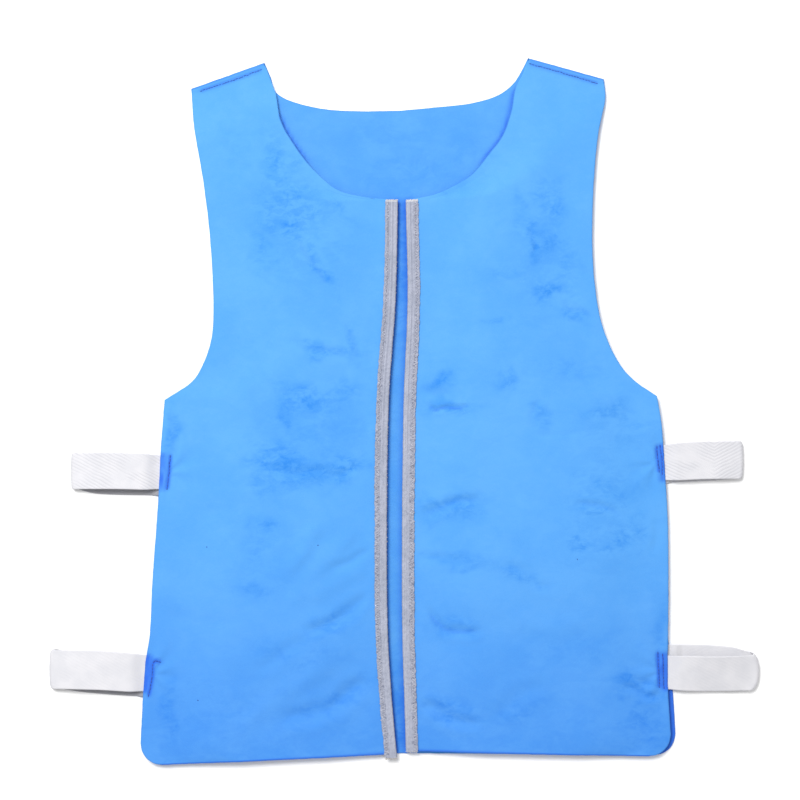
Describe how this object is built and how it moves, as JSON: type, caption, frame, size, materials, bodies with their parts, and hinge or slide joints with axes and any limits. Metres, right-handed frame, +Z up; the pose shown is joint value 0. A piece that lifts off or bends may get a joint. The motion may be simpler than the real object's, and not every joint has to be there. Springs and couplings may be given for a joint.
{
  "type": "cooling vest",
  "caption": "Sleeveless soft chamois-cloth vest, laid flat and open at the front, with bound front edges and elastic side loops.",
  "frame": {"origin": "on the underside of the back panel, at the level of the armpits and the middle of the back", "axes": "+Z up from the surface the vest lies on, +Y towards the neck, +X to the right of someone who looks down on the open front"},
  "size_m": [0.6544, 0.6514, 0.0122],
  "materials": {
    "chamois_cloth": "soft matte nap with a mottled pile",
    "binding_tape": "matte knitted tape",
    "elastic_webbing": "matte herringbone weave"
  },
  "bodies": {
    "root": {"back_panel": "chamois_cloth", "front_panel_left": "chamois_cloth", "front_panel_right": "chamois_cloth", "front_binding_left": "binding_tape", "front_binding_right": "binding_tape", "strap_upper_left": "elastic_webbing", "strap_lower_left": "elastic_webbing", "strap_upper_right": "elastic_webbing", "strap_lower_right": "elastic_webbing"}
  },
  "joints": []
}
